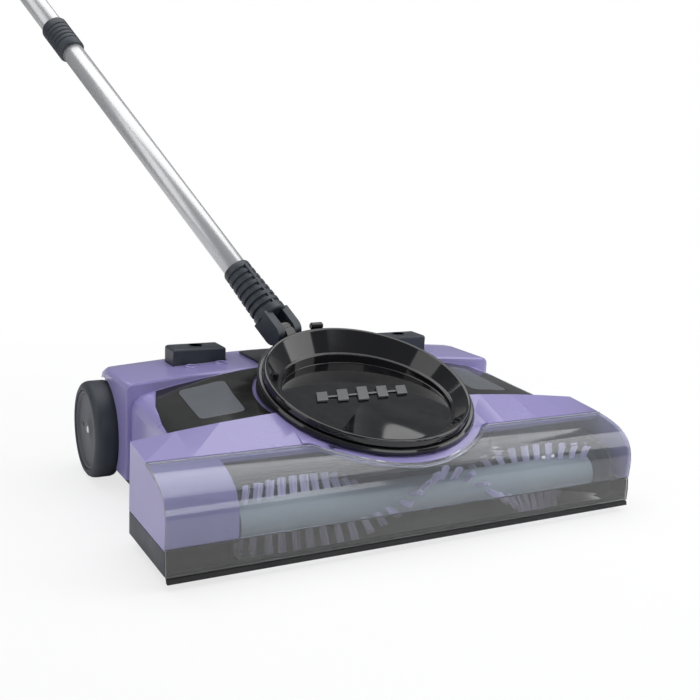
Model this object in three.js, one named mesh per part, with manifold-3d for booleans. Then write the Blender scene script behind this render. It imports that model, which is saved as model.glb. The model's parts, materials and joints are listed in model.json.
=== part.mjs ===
// Cordless carpet sweeper: a low floor head with a motor-driven brush behind a clear window, a dust cup
// with a bottom door, two foot pedals, and a sectional handle on a swivelling, tilting knuckle.
// Millimetres, +Z up, +Y towards the rear, +X to the right seen from the front.
// Head frame: X = 0 on the centre line, Y = 0 at the front skirt, Z = 0 on the floor.
import * as THREE from 'three';
import { mergeVertices } from 'three/addons/utils/BufferGeometryUtils.js';
import Module from 'manifold-3d';

const wasm = await Module();
wasm.setup();

// ---- driving dimensions ----
const gap = 0.3; // clearance between neighbouring pieces
const wall = 2.5; // moulded wall thickness
const head = { halfWidth: 184, bandRearY: 73.4, barFrontY: 158.6, rearY: 240 };
const band = { edgeY: 39.7, edgeZ: 67.8, crownZ: 84, crownDrop: 12.5, lowZ: 24 };
const deck = { halfWidth: 158, frontDip: 1.5, rearZ: 97, rearDrop: 20, shell: 4.5, panelThick: 2 };
const bar = { halfWidth: 162, topZ: 94.8, topDrop: 7.8, backTopY: 210, lowZ: 14 };
const visor = { thick: 2.4, seamZ: 26.1, seamY: -0.5, bendY: -1.2, bendZ: 34 };
const skirt = { bottomZ: 7.8, topZ: 25.6, thick: 2.3 };
const dish = { y: 87.8, z: 96.1, tilt: 19 };
const flange = { r: 89, top: -10, wellR: 72.5, lip: 15, edgeV: -54.3, fillet: 12 };
const ring = { inner: 76.5, outer: 82.4, top: -5.5, bottom: -9.7 };
const pivot = { r: 92.5, n: -6, pinR: 2.6, tongueR: 7.6, tongueHalf: 4.7 };
const fork = { earR: 9.3, inner: 5.2, outer: 12.8 };
const rest = { swivel: 20.7, lift: 22.8 }; // handle swung left and raised above the dish plane, degrees
const sleeve = {
  start: 11.5, end: 67, lowR: 13.6, topR: 11.8, bore: 10, boreStart: 24, ribs: 7, lowDepth: 1.6, topDepth: 0.9,
};
const tube = { r: 9.7, wall: 1, section: 325, joiner: 34 };
const brush = { y: 28, z: 25.6, coreR: 12.6, tipR: 25.2, capR: 14.4, left: -130, right: 162, shaftR: 3 };
const rearWheel = { y: 218.5, r: 38, inner: 158.5, outer: 178, axleR: 3 };
const roller = { x: 112, y: 80, r: 7.5, half: 6, pinR: 1.5 };
const motor = { y: 176, z: 38, r: 16, left: -124, right: -68, shaftR: 1.5 };
const belt = { x: -150.5, width: 6, guardX: -137, thick: 1.6, brushPulleyR: 10.5, motorPulleyR: 5.25 };
const cup = { halfWidth: 121, frontY: 91, rearY: 145, lowZ: 12.4, topZ: 60, wall: 2 };
const door = { halfWidth: 115, hingeY: 94, hingeZ: 11, rearY: 152, bottomZ: 8.6, thick: 2.2 };
const pedal = { x: 93.95, width: 43.5, y: 201.6, depth: 21.8, topZ: 104.1, lowZ: 82 };
const base = { bottomZ: 8, topZ: 11, mouthLeft: -136, mouthRight: 168, mouthFront: 3.5, mouthRear: 71 };

const colour = {
  lavender: 0x9d94c4, darkGrey: 0x31363f, gloss: 0x0c0c0e, olive: 0x1c1c18, smoke: 0x5a5d60,
  lens: 0x6d7178, steel: 0xb8bbc0, silver: 0xd5d6d8, core: 0x9fb0b8, bristle: 0xb9aee6,
  rubber: 0x17181a, tyre: 0x2b3038, hub: 0x5f646c, cell: 0x3c7f6c, board: 0x1f5a38, clear: 0x4a4d52,
};
const finish = (hex, roughness = 0.45, metalness = 0) =>
  new THREE.MeshStandardMaterial({ color: hex, roughness, metalness });

// ---- solids and placing ----
const toManifold = (geometry) => {
  const bare = geometry.clone();
  bare.deleteAttribute('normal');
  bare.deleteAttribute('uv');
  const merged = mergeVertices(bare, 1e-4);
  return new wasm.Manifold(new wasm.Mesh({
    numProp: 3,
    vertProperties: new Float32Array(merged.attributes.position.array),
    triVerts: new Uint32Array(merged.index.array),
  }));
};
const toGeometry = (solid) => {
  const mesh = solid.getMesh();
  const geometry = new THREE.BufferGeometry();
  geometry.setAttribute('position', new THREE.BufferAttribute(mesh.vertProperties, 3));
  geometry.setIndex(new THREE.BufferAttribute(mesh.triVerts, 1));
  return geometry;
};
const cut = (solid, ...tools) => tools.reduce((left, tool) => left.subtract(tool), solid);
const join = (first, ...others) => others.reduce((sum, next) => sum.add(next), first);

const block = (x0, x1, y0, y1, z0, z1) =>
  toManifold(new THREE.BoxGeometry(x1 - x0, y1 - y0, z1 - z0)
    .translate((x0 + x1) / 2, (y0 + y1) / 2, (z0 + z1) / 2));
const rodX = (x0, x1, y, z, r, sides = 24) =>
  toManifold(new THREE.CylinderGeometry(r, r, x1 - x0, sides).rotateZ(Math.PI / 2)
    .translate((x0 + x1) / 2, y, z));
const rodZ = (x, y, z0, z1, r, sides = 24) =>
  toManifold(new THREE.CylinderGeometry(r, r, z1 - z0, sides).rotateX(Math.PI / 2)
    .translate(x, y, (z0 + z1) / 2));

// A profile of [radius, height] pairs turned about +Z.
const turned = (profile, sides = 32) =>
  new THREE.LatheGeometry(profile.map(([r, h]) => new THREE.Vector2(r, h)), sides).rotateX(Math.PI / 2);
const turnedAlongX = (profile, sides) => turned(profile, sides).rotateY(Math.PI / 2);

// An outline of [a, b] pairs, extruded along X (outline in Y, Z) or along Z (outline in X, Y).
const outlineShape = (points) => new THREE.Shape(points.map(([a, b]) => new THREE.Vector2(a, b)));
const slabX = (points, x0, x1) =>
  toManifold(new THREE.ExtrudeGeometry(outlineShape(points), { depth: x1 - x0, bevelEnabled: false })
    .applyMatrix4(new THREE.Matrix4().set(0, 0, 1, x0, 1, 0, 0, 0, 0, 1, 0, 0, 0, 0, 0, 1)));
const slabZ = (points, z0, z1) =>
  toManifold(new THREE.ExtrudeGeometry(outlineShape(points), { depth: z1 - z0, bevelEnabled: false })
    .translate(0, 0, z0));

// A skin through rings of equally many points. A quad's diagonal runs the other way on the listed edges.
const skin = (rings, flipped = []) => {
  const count = rings[0].length;
  const positions = rings.flat(2);
  const index = [];
  rings.slice(1).forEach((_, i) => {
    for (let j = 0; j < count; j += 1) {
      const a = i * count + j;
      const b = i * count + ((j + 1) % count);
      if (flipped.includes(j)) index.push(a, b, b + count, a, b + count, a + count);
      else index.push(a, b, a + count, b, b + count, a + count);
    }
  });
  return { positions, index, count, last: (rings.length - 1) * count };
};
const skinGeometry = ({ positions, index }) => {
  const geometry = new THREE.BufferGeometry();
  geometry.setAttribute('position', new THREE.Float32BufferAttribute(positions, 3));
  geometry.setIndex(index);
  return geometry;
};

// Loft of a Y, Z outline (anticlockwise seen from +X) that changes along X.
const loftX = (stations, outlineAt, flipped) => {
  const surface = skin(stations.map((x) => outlineAt(x).map(([y, z]) => [x, y, z])), flipped);
  const capAt = (x) =>
    THREE.ShapeUtils.triangulateShape(outlineAt(x).map(([y, z]) => new THREE.Vector2(y, z)), []);
  capAt(stations[0]).forEach(([a, b, c]) => surface.index.push(a, c, b));
  capAt(stations.at(-1)).forEach(([a, b, c]) =>
    surface.index.push(surface.last + a, surface.last + b, surface.last + c));
  return toManifold(skinGeometry(surface));
};

// Bowl through level or leaning circles { r, v, n, lean } in the dish frame, from its underside to its floor.
const bowl = (circles, sides = 44) => {
  const surface = skin(circles.map(({ r, v = 0, n, lean = 0 }) => {
    const slope = THREE.MathUtils.degToRad(lean);
    return Array.from({ length: sides }, (_, k) => {
      const angle = (2 * Math.PI * k) / sides;
      const along = r * Math.sin(angle);
      return [r * Math.cos(angle), v + along * Math.cos(slope), n + along * Math.sin(slope)];
    });
  }));
  for (let k = 1; k < sides - 1; k += 1) {
    surface.index.push(0, k + 1, k);
    surface.index.push(surface.last, surface.last + k, surface.last + k + 1);
  }
  return toManifold(skinGeometry(surface));
};

const range = (from, to, steps) => Array.from({ length: steps + 1 }, (_, i) => from + ((to - from) * i) / steps);

// ---- scene graph ----
const sweeper = new THREE.Group();
const makeGroup = (parent, [x, y, z] = [0, 0, 0]) => {
  const group = new THREE.Group();
  group.position.set(x, y, z);
  parent.add(group);
  return group;
};
const floorHead = makeGroup(sweeper);
const place = (name, shape, material, parent = floorHead, position = [0, 0, 0]) => {
  const geometry = shape.isBufferGeometry ? shape : toGeometry(shape);
  const mesh = new THREE.Mesh(geometry, material);
  mesh.name = name;
  mesh.position.set(...position);
  parent.add(mesh);
  return mesh;
};

// The dish frame: origin at the rim's centre, +Y up the slope to the rear, +Z out of the dish.
const tiltAngle = THREE.MathUtils.degToRad(dish.tilt);
const dishMatrix = new THREE.Matrix4().makeRotationX(tiltAngle).setPosition(0, dish.y, dish.z);
const inHead = (geometry) => toManifold(geometry.applyMatrix4(dishMatrix));
const dishDrum = (r, n0, n1, sides = 52) =>
  inHead(new THREE.CylinderGeometry(r, r, n1 - n0, sides).rotateX(Math.PI / 2).translate(0, 0, (n0 + n1) / 2));
const dishGroup = makeGroup(floorHead, [0, dish.y, dish.z]);
dishGroup.rotation.x = tiltAngle;

// ---- outlines of the head ----
const windowCurve = new THREE.CubicBezierCurve(
  new THREE.Vector2(visor.bendY, visor.bendZ), new THREE.Vector2(-2.5, 58),
  new THREE.Vector2(12, 64), new THREE.Vector2(band.edgeY, band.edgeZ),
);
// Front face of the window from the seam up to its rear edge, moved inwards by an inset.
const windowOutline = (inset) => {
  const face = [[visor.seamY + inset, visor.seamZ]];
  range(0, 1, 12).forEach((t) => {
    const point = windowCurve.getPoint(t);
    const along = windowCurve.getTangent(t);
    face.push([point.x + along.y * inset, point.y - along.x * inset]);
  });
  return face;
};
const bandTop = (x) => band.crownZ - band.crownDrop * (x / head.halfWidth) ** 2;
const deckFront = (x) => bandTop(x) - deck.frontDip;
const deckRear = (x) => deck.rearZ - deck.rearDrop * (x / 160) ** 2;
const barTop = (x) => bar.topZ - bar.topDrop * (x / bar.halfWidth) ** 2;
const shoulder = (x, half, radius) => {
  const over = Math.max(0, Math.abs(x) - (half - radius));
  return radius - Math.sqrt(Math.max(0, radius ** 2 - over ** 2));
};

// Front block: the lavender band behind the window, down to the seam.
const bandStations = range(-head.halfWidth, head.halfWidth, 12);
const bandOutline = (x, inset) => {
  const front = windowOutline(visor.thick + gap + inset);
  const low = band.lowZ - (inset ? 20 : 0);
  return [
    [head.bandRearY + 2 - inset, low], [head.bandRearY - inset, bandTop(x) - inset * 1.05],
    [band.edgeY + 0.6, band.edgeZ + 0.2 - inset], ...front.reverse(), [front.at(-1)[0], low],
  ];
};
// The brush chamber is open towards the window, under a lip that carries the window's rear edge.
const chamberOutline = (x) => [
  [head.bandRearY + 2 - wall, 4], [head.bandRearY - wall, bandTop(x) - wall * 1.05], [47, 68], [37, 61.5],
  [33, 72], [-20, 72], [-20, 4],
];
// Middle block under the deck panel, and the rear bar.
const deckRadius = 9;
const deckStations = [-158, -156.2, -152.5, ...range(-148, 148, 12), 152.5, 156.2, 158];
const deckSteps = 3;
// The deck's straight line from front to rear at x, moved up by an offset.
const deckLine = (x, offset) => {
  const drop = shoulder(x, deck.halfWidth, deckRadius);
  return range(0, 1, deckSteps).map((t) => [
    THREE.MathUtils.lerp(head.bandRearY - 1, head.barFrontY + 2, t),
    THREE.MathUtils.lerp(deckFront(x), deckRear(x), t) - drop + offset,
  ]);
};
const topEdges = (first) => range(first, first + deckSteps - 1, deckSteps - 1);
const deckLayer = (top, bottom) => loftX(
  deckStations, (x) => [...deckLine(x, bottom), ...deckLine(x, top).reverse()], topEdges(deckSteps + 1),
);
const deckBlock = (inset) => {
  const stations = inset ? range(-deck.halfWidth + wall, deck.halfWidth - wall, 14) : deckStations;
  const low = bar.lowZ - (inset ? 10 : 0);
  return loftX(stations, (x) => {
    const roof = deckLine(x, inset ? -deck.shell : 0);
    if (inset) roof[0][0] += inset;
    return [[roof[0][0], low], [roof.at(-1)[0], low], ...roof.reverse()];
  }, topEdges(2));
};
const barBack = new THREE.CubicBezierCurve(
  new THREE.Vector2(head.rearY, 46), new THREE.Vector2(head.rearY, 74),
  new THREE.Vector2(233, 0), new THREE.Vector2(bar.backTopY, 0),
);
const barBlock = (inset) => {
  const half = bar.halfWidth - inset;
  const ends = inset ? [] : [half - 4, half - 1.2];
  const middle = range(-150, 150, inset ? 4 : 8);
  const stations = [-half, ...ends.slice().reverse().map((x) => -x), ...middle, ...ends, half];
  return loftX(stations, (x) => {
    const drop = inset ? inset : shoulder(x, half, 4);
    const low = bar.lowZ - (inset ? 10 : 0);
    const back = range(0, 1, inset ? 3 : 5).map((t) => {
      const point = barBack.getPoint(t);
      const blend = t * t * (3 - 2 * t);
      const z = 46 + (barTop(x) - 46) * (1 - (1 - t) ** 3) * (0.35 + 0.65 * blend) ** 0.25;
      return [point.x - drop, z - drop];
    });
    return [
      [head.barFrontY + inset + drop * 0.3, low], [head.rearY - 3 - drop, low], ...back,
      [head.barFrontY + inset + 1.5 + drop, barTop(x) - drop],
      [head.barFrontY + inset + drop * 0.3, barTop(x) - drop - 1.5],
    ];
  });
};

// ---- upper housing ----
const bandBlock = loftX(bandStations, (x) => bandOutline(x, 0));
const middleBlock = deckBlock(0);
const rearBlock = barBlock(0);
// The flange in the dish frame: its front arc runs into the window's straight rear edge by two fillets.
const flangeOutline = (grow) => {
  const r = flange.r + grow;
  const edge = flange.edgeV - grow;
  const filletX = Math.sqrt((r + flange.fillet) ** 2 - (edge - flange.fillet) ** 2);
  const turn = Math.atan2(edge - flange.fillet, filletX);
  const front = range(-Math.PI - turn, turn, 36).map((a) => [r * Math.cos(a), r * Math.sin(a)]);
  const fillet = range(0, 1, 5).map((t) => {
    const a = THREE.MathUtils.lerp(Math.PI + turn, Math.PI / 2, t);
    return [filletX + flange.fillet * Math.cos(a), edge - flange.fillet + flange.fillet * Math.sin(a)];
  }).slice(1);
  const mirrored = fillet.map(([u, v]) => [-u, v]).reverse();
  return [...mirrored, ...front, ...fillet, [filletX, 0], [-filletX, 0]];
};
const flangeSlab = (grow, n0, n1) =>
  inHead(new THREE.ExtrudeGeometry(outlineShape(flangeOutline(grow)), { depth: n1 - n0, bevelEnabled: false })
    .translate(0, 0, n0));
const flangeFront = cut(flangeSlab(0, -flange.lip, flange.top), block(-120, 120, 78, 260, 0, 200));
const solidHead = join(bandBlock, middleBlock, rearBlock, flangeFront);

const chamberEnds = head.halfWidth - wall;
const bandCavity = loftX([-chamberEnds, belt.guardX - 1], (x) => bandOutline(x, wall))
  .add(loftX(range(belt.guardX, chamberEnds, 8), chamberOutline));
const flangeCavity = cut(dishDrum(flange.r - wall, -40, flange.top - wall), block(-120, 120, 70.9, 260, 0, 200));
const throatCut = block(-134, 134, 66, 80, 10, 56).add(block(-156, -144, 66, 80, 10, 52));
const ringTrack = dishDrum(ring.outer + 1, flange.top - 0.2, 60);
const well = dishDrum(flange.wellR, -45, 60).add(ringTrack);

const panelOutline = (grow) => {
  const side = (s) => [
    [s * (140 + grow), head.barFrontY - 1.2 + grow], [s * (149 + grow), 130],
    [s * (154 + grow), 100], [s * (156 + grow), head.bandRearY + 1.2 - grow],
  ];
  return [...side(1).reverse(), ...side(-1)];
};
// Rounds each corner of an outline with a short arc.
const rounded = (points, radius, steps = 3) => points.flatMap((point, i) => {
  const corner = new THREE.Vector2(...point);
  const reach = (other) => new THREE.Vector2(...other).sub(corner).normalize().multiplyScalar(radius).add(corner);
  const curve = new THREE.QuadraticBezierCurve(
    reach(points.at(i - 1)), corner, reach(points[(i + 1) % points.length]));
  return curve.getPoints(steps).map(({ x, y }) => [x, y]);
});
const windowHole = (s, grow) => {
  const points = [[-128 - grow, 146 + grow], [-131 - grow, 88 - grow], [-97 + grow, 88 - grow],
    [-95 + grow, 115], [-91 + grow, 146 + grow]];
  const outline = rounded(points.map(([x, y]) => [s * -x, y]), 5.5);
  return s > 0 ? outline.reverse() : outline;
};
const panelPocket = slabZ(panelOutline(gap), 0, 200).intersect(deckLayer(30, -deck.panelThick - gap));
const sightHoles = [-1, 1].map((s) => slabZ(windowHole(s, -5), 40, 120));
const pedalHalf = [pedal.width / 2 + 2 * gap, pedal.depth / 2 + 2 * gap];
const pedalHoles = [-1, 1].map((s) => block(
  s * pedal.x - pedalHalf[0], s * pedal.x + pedalHalf[0], pedal.y - pedalHalf[1], pedal.y + pedalHalf[1], 80, 120,
));
const indicatorSpots = [[-104, 182.5], [-79.5, 182.5]];
const indicatorHoles = indicatorSpots.map(([x, y]) => rodZ(x, y, 80, 110, 3.3, 16));
const archInner = rearWheel.inner - 1.5;
const wheelArches = [[-190, -archInner], [archInner, 190]].map(([x0, x1]) =>
  rodX(x0, x1, rearWheel.y, rearWheel.r, rearWheel.r + 2.5, 40));
const axleHoles = rodX(-170, 170, rearWheel.y, rearWheel.r, rearWheel.axleR + gap, 20);
const jackHole = rodX(-3, 3, 0, 0, 5.2, 20).rotate([0, 0, 90]).translate([-30, 237, 40]);

const upperHousing = cut(
  solidHead, bandCavity, flangeCavity, throatCut, deckBlock(wall), barBlock(wall), well, panelPocket,
  block(-deck.halfWidth + wall, deck.halfWidth - wall, 150, 166, 4, 74),
  ...sightHoles, ...pedalHoles, ...indicatorHoles, ...wheelArches, axleHoles, jackHole,
  rodX(-142, -134, brush.y, brush.z, 9, 20),
);
place('upper_housing', upperHousing, finish(colour.lavender, 0.3));

// ---- deck panel, windows in it, and the black turret with its top plate ----
const turretClear = dishDrum(84, -60, 60);
const panelSheet = cut(
  slabZ(panelOutline(0), 0, 200).intersect(deckLayer(0, -deck.panelThick)), turretClear,
  slabZ(windowHole(-1, gap), 40, 120), slabZ(windowHole(1, gap), 40, 120),
  block(-60, 60, 70, 165, 0, 200),
);
const panelSides = panelSheet.decompose();
panelSides.sort((a, b) => a.boundingBox().min[0] - b.boundingBox().min[0]);
['deck_panel_left', 'deck_panel_right'].forEach((name, i) => place(name, panelSides[i], finish(colour.olive, 0.12)));
[-1, 1].forEach((s) => {
  const lens = slabZ(windowHole(s, 0), 40, 120).intersect(deckLayer(0.1, -deck.panelThick + 0.2));
  place(s < 0 ? 'sight_window_left' : 'sight_window_right', lens, finish(colour.lens, 0.25));
});

const turretDrum = cut(dishDrum(81.5, -58, ring.bottom - gap), dishDrum(75, -80, 20));
const deckPlate = cut(
  loftX(range(-54, 54, 8), (x) => {
    const top = barTop(x);
    return [[150, top + gap], [208, top + gap], [208, top + 1.6], [206.5, top + 2.2], [150, top + 2.2]];
  }),
  dishDrum(80, -80, 60),
);
const headEnvelope = join(bandBlock, middleBlock, rearBlock).translate([0, 0, gap]);
const centreDeck = cut(join(turretDrum, deckPlate), headEnvelope, block(-120, 120, -20, 78.5, 0, 200))
  .decompose().sort((a, b) => b.volume() - a.volume())[0];
place('centre_deck', centreDeck, finish(colour.gloss, 0.35));

// ---- clear window, lower skirt and lip ----
const windowShell = cut(
  slabX([...windowOutline(0), ...windowOutline(visor.thick).reverse()], -head.halfWidth, head.halfWidth),
  flangeSlab(gap, -60, 60),
);
place('brush_window', windowShell, finish(colour.smoke, 0.08));
const skirtOutline = [
  [-1, skirt.bottomZ], [-1 + skirt.thick, skirt.bottomZ], [visor.seamY + skirt.thick, skirt.topZ],
  [visor.seamY, skirt.topZ], [-1.4, (skirt.bottomZ + skirt.topZ) / 2],
];
place('front_skirt', slabX(skirtOutline, -head.halfWidth, head.halfWidth), finish(colour.clear, 0.1));
const lipOutline = [[-2.4, 4.2], [0.4, 4.2], [1.6, 7.4], [-1.8, 7.4]];
place('front_lip', slabX(lipOutline, -head.halfWidth + 0.6, head.halfWidth - 0.6), finish(colour.rubber, 0.8));

// ---- base plate: floor pan, dark lower side walls and the ramp into the cup ----
const basePan = block(-head.halfWidth + gap, head.halfWidth - gap, 2, 76, base.bottomZ, base.topZ)
  .add(block(-deck.halfWidth + 0.5, deck.halfWidth - 0.5, 74, 237, base.bottomZ, base.topZ));
const sideOutline = [[2.4, base.bottomZ], [20, base.bottomZ], [75, base.bottomZ], [75, 23.4], [2.2, 23.4]];
const sideWalls = [-1, 1].map((s) => slabX(sideOutline, s < 0 ? -head.halfWidth : head.halfWidth - wall,
  s < 0 ? -head.halfWidth + wall : head.halfWidth));
const rampOutline = [[base.mouthRear, base.bottomZ], [90, base.bottomZ], [90, 24], [86, 24], [base.mouthRear, 12]];
const chamberOutlineLow = [[6.5, 10], [70, 10], [70, 55], [62, 58], [14, 47], [6.5, 38]];
const chamberWalls = [slabX(chamberOutlineLow, -140.4, -138), slabX(chamberOutlineLow, 169.5, 172)];
const shaftHoles = rodX(-170, 180, brush.y, brush.z, brush.shaftR + 1.2, 20);
const bearingSeats = [[-166, -156], [172, 179]].map(([x0, x1]) =>
  block(x0, x1, brush.y - 6, brush.y + 6, 10, brush.z));
const bearingCuts = [rodX(-167, -154, brush.y, brush.z, 8.3, 24), rodX(171.9, 180, brush.y, brush.z, 8.3, 24)];
const axlePosts = [-1, 1].map((s) => slabX([[209, 10], [228, 10], [225, 46], [212, 46]],
  s < 0 ? -150 : 138, s < 0 ? -138 : 150));
const postHole = rodX(-152, 152, rearWheel.y, rearWheel.r, rearWheel.axleR + gap, 20);
const pedalPosts = [-1, 1].map((s) => block(s * pedal.x - 9, s * pedal.x + 9, 218, 232, 10, 34)
  .add(block(s * pedal.x - 9, s * pedal.x + 9, 226, 232, 30, 58))
  .add(block(s * pedal.x - 9, s * pedal.x + 9, 194, 232, 55, 58)));
const motorCradle = block(-116, -76, 164, 188, 10, 22);
const motorSeat = rodX(-130, -60, motor.y, motor.z, motor.r + gap, 32);
const doorHole = block(-door.halfWidth - 0.6, door.halfWidth + 0.6, door.hingeY - 4.2, door.rearY + 0.8, 0, 12);
const hingeLugs = [-1, 1].map((s) => block(s * 108 - 2, s * 108 + 2, 88.7, 97, 8.2, 14.5));
const hingeBore = rodX(-113, 113, door.hingeY, door.hingeZ, 1.5, 12);
const rollerSpots = [-roller.x, roller.x];
const rollerPockets = rollerSpots.map((x) => block(x - 7, x + 7, roller.y - 8.6, roller.y + 8.6, 0, 17.5));
const rollerCaps = rollerSpots.map((x) => block(x - 10, x + 10, base.mouthRear, 90, 9, 20));
const rollerBores = rollerSpots.map((x) => rodX(x - 8.6, x + 8.6, roller.y, roller.r, 1.8, 12));
const mouth = block(base.mouthLeft, base.mouthRight, base.mouthFront, base.mouthRear, 0, 12);
const beltSlot = block(-154.5, -140.3, 2, 76, 11.2, 30);
const screwSpots = [[-140, 96], [140, 96], [0, 228]];
const screwBosses = screwSpots.map(([x, y]) => rodZ(x, y, 9, 15.5, 6.4, 16));
const screwHoles = screwSpots.map(([x, y]) => rodZ(x, y, 0, 20, 2.3, 12).add(rodZ(x, y, 0, 11.4, 4, 16)));
const basePlate = cut(
  join(basePan, ...sideWalls, slabX(rampOutline, -134, 134), ...chamberWalls, ...bearingSeats, ...axlePosts,
    ...pedalPosts, motorCradle, ...rollerCaps, ...screwBosses),
  mouth, shaftHoles, ...bearingCuts, postHole, motorSeat, doorHole, ...rollerPockets, beltSlot, ...screwHoles,
);
place('base_plate', cut(join(basePlate, ...hingeLugs), hingeBore, ...rollerBores), finish(colour.darkGrey, 0.6));

// ---- dust cup and its bottom door ----
const cupShell = cut(
  block(-cup.halfWidth, cup.halfWidth, cup.frontY, cup.rearY, cup.lowZ, cup.topZ),
  block(-cup.halfWidth + cup.wall, cup.halfWidth - cup.wall, cup.frontY + cup.wall, cup.rearY - cup.wall, 0, 58),
  block(-cup.halfWidth + 4, cup.halfWidth - 4, 80, 100, 26, 55),
  block(-cup.halfWidth - 1, cup.halfWidth + 1, 80, 98, 0, 16),
);
place('dust_cup', cupShell, finish(colour.smoke, 0.2));
const doorPanel = join(
  block(-door.halfWidth, door.halfWidth, door.hingeY + 4.5, door.rearY, door.bottomZ, door.bottomZ + door.thick),
  block(-104, 104, door.hingeY + 1, door.hingeY + 5, door.bottomZ, door.bottomZ + door.thick),
  rodX(-104, 104, door.hingeY, door.hingeZ, 2.9, 16),
  block(-40, 40, door.rearY - 5, door.rearY - 3, door.bottomZ, 14),
);
place('dust_door', cut(doorPanel, rodX(-120, 120, door.hingeY, door.hingeZ, 1.55, 12)), finish(colour.darkGrey, 0.6));
place('door_hinge_pin', rodX(-110.5, 110.5, door.hingeY, door.hingeZ, 1.15, 10), finish(colour.steel, 0.3, 1));

// ---- brush roll ----
place('brush_core', cut(rodX(brush.left, brush.right, brush.y, brush.z, brush.coreR, 28),
  rodX(brush.left - 1, brush.right + 1, brush.y, brush.z, brush.shaftR + gap, 16)), finish(colour.core, 0.6));
place('brush_shaft', rodX(-164, 178, brush.y, brush.z, brush.shaftR - 0.1, 16), finish(colour.steel, 0.3, 1));

// Each row winds one way along the left of the roll and back again along the right: [x, degrees] along it,
// where 90 points up, 180 to the front and 270 down.
const rowTwist = [
  [-130, 288], [-60, 238], [-25, 192], [5, 142], [27, 116], [45, 136], [68, 190], [95, 232], [162, 300],
];
const twistAt = (x) => {
  const i = Math.max(1, rowTwist.findIndex(([stop]) => stop >= x));
  const [[x0, a0], [x1, a1]] = [rowTwist[i - 1], rowTwist[i]];
  return THREE.MathUtils.degToRad(a0 + ((a1 - a0) * (x - x0)) / (x1 - x0));
};
const tuft = { perRow: 19, tipR: 2.1, rootR: 1.5, endMargin: 6, rise: 0.6 };
const bristleRow = (phase) => {
  const length = brush.tipR - brush.coreR - tuft.rise;
  const tufts = range(brush.left + tuft.endMargin, brush.right - tuft.endMargin, tuft.perRow - 1).map((x) =>
    new THREE.CylinderGeometry(tuft.tipR, tuft.rootR, length, 4)
      .translate(0, brush.coreR + tuft.rise + length / 2, 0).rotateX(phase + twistAt(x))
      .translate(x, brush.y, brush.z));
  const strip = range(brush.left + 2, brush.right - 2, 30).map((x) => {
    const angle = phase + twistAt(x);
    return [[-0.13, 2.2], [0.13, 2.2], [0.15, 1.1], [-0.15, 1.1]].map(([swing, rise]) => {
      const r = brush.coreR + rise;
      return [x, brush.y + r * Math.cos(angle + swing), brush.z + r * Math.sin(angle + swing)];
    });
  });
  const surface = skin(strip);
  [[0, 2, 1], [0, 3, 2]].forEach(([a, b, c]) => {
    surface.index.push(a, b, c);
    surface.index.push(surface.last + a, surface.last + c, surface.last + b);
  });
  return join(toManifold(skinGeometry(surface)), ...tufts.map(toManifold));
};
['bristle_row_a', 'bristle_row_b'].forEach((name, i) =>
  place(name, bristleRow(Math.PI * i), finish(colour.bristle, 0.7)));

const brushCap = (x0, x1) => cut(rodX(x0, x1, brush.y, brush.z, brush.capR, 28),
  rodX(x0 - 1, x1 + 1, brush.y, brush.z, brush.shaftR + gap, 16));
place('brush_cap_left', brushCap(-136, brush.left - gap), finish(colour.darkGrey, 0.5));
place('brush_cap_right', brushCap(brush.right + gap, 168), finish(colour.darkGrey, 0.5));
[['brush_bearing_left', -165, -157], ['brush_bearing_right', 172.4, 178.6]].forEach(([name, x0, x1]) =>
  place(name, cut(rodX(x0, x1, brush.y, brush.z, 8, 24), rodX(x0 - 1, x1 + 1, brush.y, brush.z, 3.1, 16)),
    finish(colour.steel, 0.35, 1)));

// ---- motor, belt drive, battery and electrics ----
const beltHalf = belt.width / 2;
const pulley = (y, z, r, bore) => cut(join(
  rodX(belt.x - beltHalf - 0.4, belt.x + beltHalf + 0.4, y, z, r, 20),
  rodX(belt.x - beltHalf - 1.6, belt.x - beltHalf - 0.4, y, z, r + 2.4, 20),
  rodX(belt.x + beltHalf + 0.4, belt.x + beltHalf + 1.6, y, z, r + 2.4, 20),
), rodX(-180, -120, y, z, bore, 16));
place('brush_pulley', pulley(brush.y, brush.z, belt.brushPulleyR, brush.shaftR + 0.2), finish(colour.darkGrey, 0.5));
place('motor_pulley', pulley(motor.y, motor.z, belt.motorPulleyR, motor.shaftR + 0.2), finish(colour.steel, 0.4, 1));
place('motor_shaft', rodX(-156, -90, motor.y, motor.z, motor.shaftR, 12), finish(colour.steel, 0.3, 1));
place('motor_can', cut(join(rodX(motor.left, motor.right, motor.y, motor.z, motor.r, 32),
  rodX(motor.left - 4, motor.left, motor.y, motor.z, 6, 20)),
rodX(-140, -88, motor.y, motor.z, motor.shaftR + gap, 12)), finish(colour.steel, 0.4, 1));

const beltLoop = (extra) => {
  const from = new THREE.Vector2(brush.y, brush.z);
  const to = new THREE.Vector2(motor.y, motor.z);
  const bigR = belt.brushPulleyR + gap + extra;
  const smallR = belt.motorPulleyR + gap + extra;
  const span = from.distanceTo(to);
  const heading = Math.atan2(to.y - from.y, to.x - from.x);
  const lean = Math.acos((bigR - smallR) / span);
  const arc = (centre, r, start, end, steps) => range(start, end, steps)
    .map((a) => [centre.x + r * Math.cos(a), centre.y + r * Math.sin(a)]);
  return [
    ...arc(to, smallR, heading - lean, heading + lean, 10),
    ...arc(from, bigR, heading + lean, heading + 2 * Math.PI - lean, 16),
  ];
};
place('drive_belt', cut(slabX(beltLoop(belt.thick), belt.x - beltHalf, belt.x + beltHalf),
  slabX(beltLoop(0), belt.x - 10, belt.x + 10)), finish(colour.rubber, 0.85));

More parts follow.
